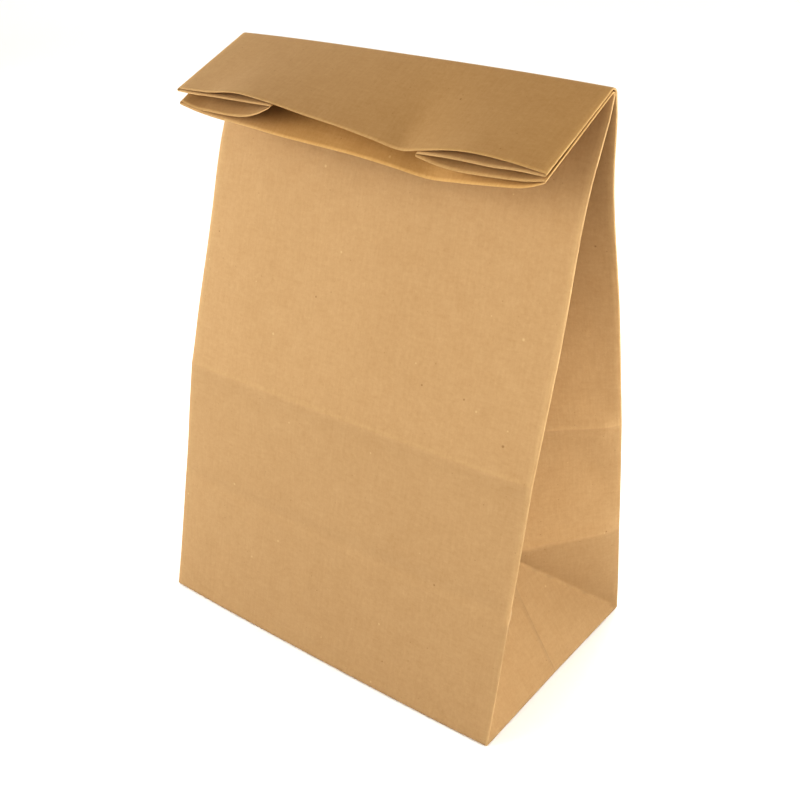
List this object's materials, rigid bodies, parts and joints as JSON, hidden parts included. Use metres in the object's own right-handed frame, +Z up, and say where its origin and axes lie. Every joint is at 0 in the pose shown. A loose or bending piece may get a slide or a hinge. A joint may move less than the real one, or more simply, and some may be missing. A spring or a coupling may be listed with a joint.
{
  "type": "brown paper lunch bag",
  "caption": "Plain brown kraft paper bag with side gussets and a flat block bottom, standing, its top closed and folded once towards the front",
  "frame": {"origin": "middle of the flat bottom, on the surface that the bag stands on", "axes": "+Z up, -Y towards the front wall under the folded top, +X towards the right gusset"},
  "size_m": [0.1563, 0.0954, 0.2132],
  "materials": {
    "kraft_paper": "uncoated brown kraft paper, matt, with fine fibres along the sheet"
  },
  "bodies": {
    "root": {"paper_bag": "kraft_paper"}
  },
  "joints": []
}
